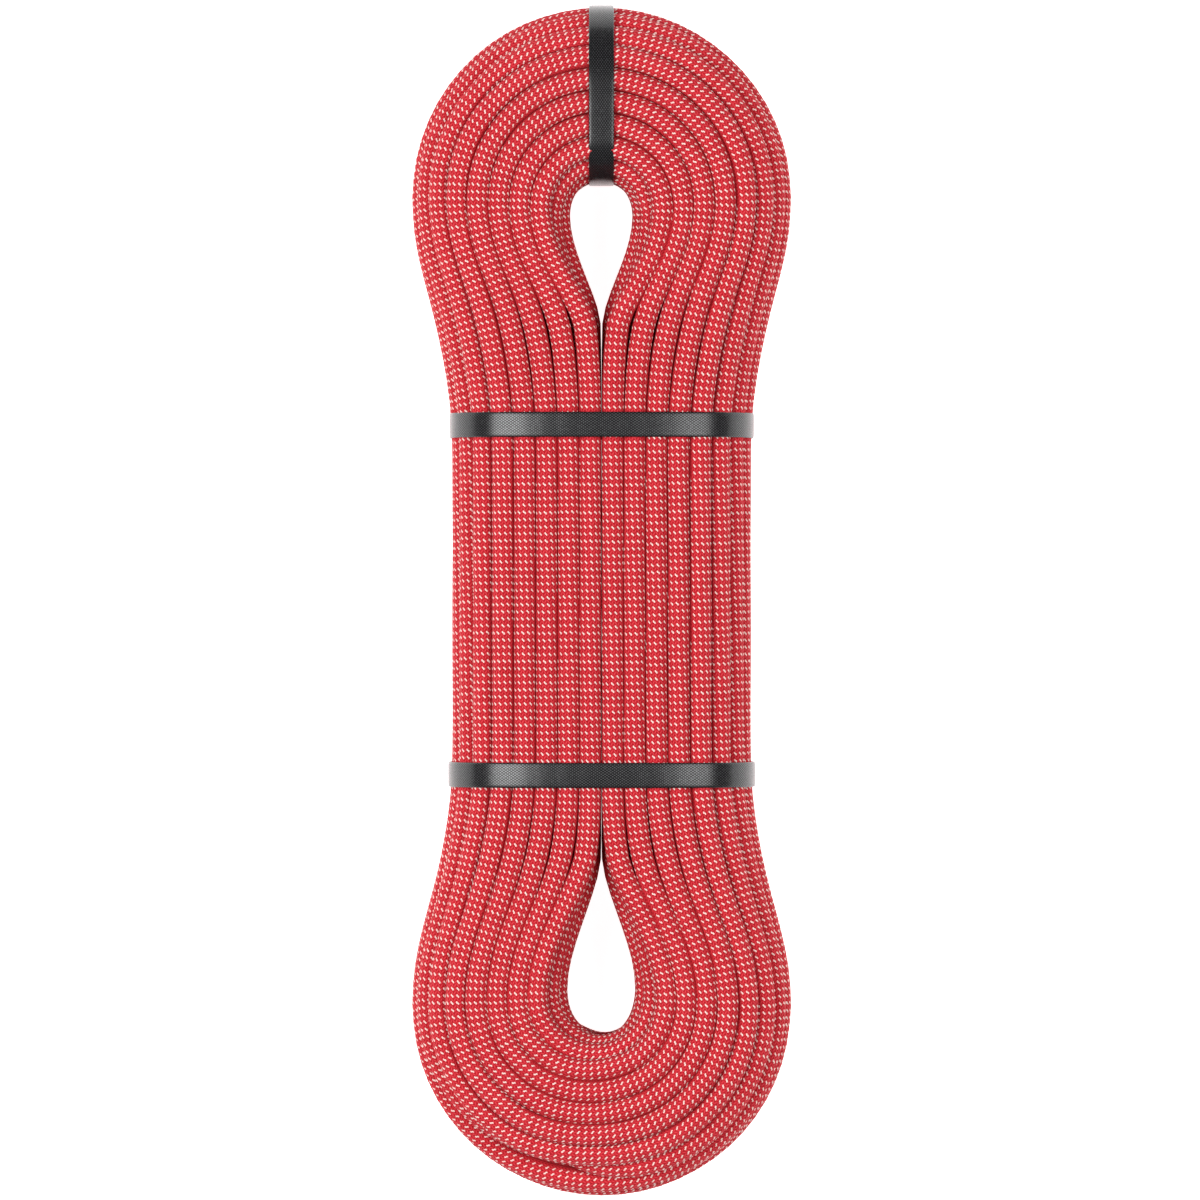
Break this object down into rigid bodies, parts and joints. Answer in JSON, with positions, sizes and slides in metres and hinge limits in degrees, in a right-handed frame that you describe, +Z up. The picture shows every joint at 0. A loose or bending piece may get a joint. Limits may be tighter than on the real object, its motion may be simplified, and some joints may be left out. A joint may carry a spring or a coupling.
{
  "type": "dynamic climbing rope",
  "caption": "Kernmantle climbing rope wound into a long dog-bone hank with two open eyes, bound by flat straps at the waist and the crown.",
  "frame": {"origin": "under the middle of the hank, on the surface that it rests on", "axes": "+X across the hank, +Y along the hank towards the crown strap, +Z up, out of its front"},
  "size_m": [0.1602, 0.5032, 0.0911],
  "materials": {
    "sheath": "braided sheath, red with cream flecks",
    "strap": "woven charcoal tape with a soft sheen",
    "core": "twisted undyed polyamide strands",
    "marker_thread": "thin dyed thread",
    "end_sleeve": "shrunk plastic sleeve, satin",
    "melted_tip": "melted and pressed fibre"
  },
  "bodies": {
    "wound_rope": {"rope_layer_01": "sheath", "rope_layer_02": "sheath", "rope_layer_03": "sheath", "rope_layer_04": "sheath", "rope_layer_05": "sheath", "rope_layer_06": "sheath", "rope_layer_07": "sheath", "rope_layer_08": "sheath", "rope_layer_09": "sheath", "rope_layer_10": "sheath", "first_end_sheath": "sheath", "first_end_core_strand_1": "core", "first_end_core_strand_2": "core", "first_end_core_strand_3": "core", "first_end_core_strand_4": "core", "first_end_core_strand_5": "core", "first_end_core_strand_6": "core", "first_end_core_strand_7": "core", "first_end_marker_thread": "marker_thread", "first_end_sleeve": "end_sleeve", "first_end_melted_tip": "melted_tip", "last_end_sheath": "sheath", "last_end_core_strand_1": "core", "last_end_core_strand_2": "core", "last_end_core_strand_3": "core", "last_end_core_strand_4": "core", "last_end_core_strand_5": "core", "last_end_core_strand_6": "core", "last_end_core_strand_7": "core", "last_end_marker_thread": "marker_thread", "last_end_sleeve": "end_sleeve", "last_end_melted_tip": "melted_tip"},
    "upper_waist_band": {"upper_waist_strap": "strap"},
    "lower_waist_band": {"lower_waist_strap": "strap"},
    "crown_band": {"crown_strap": "strap"}
  },
  "joints": [
    {"name": "upper_waist_slide", "type": "slide", "parent": "wound_rope", "child": "upper_waist_band", "axis": [0, -1, 0], "range_m": [0, 0.03]},
    {"name": "lower_waist_slide", "type": "slide", "parent": "wound_rope", "child": "lower_waist_band", "axis": [0, 1, 0], "range_m": [0, 0.03]},
    {"name": "crown_swing", "type": "hinge", "parent": "wound_rope", "child": "crown_band", "pos_m": [0, 0.1634, 0.0455], "axis": [0, 0, 1], "range_deg": [-10, 10]}
  ]
}
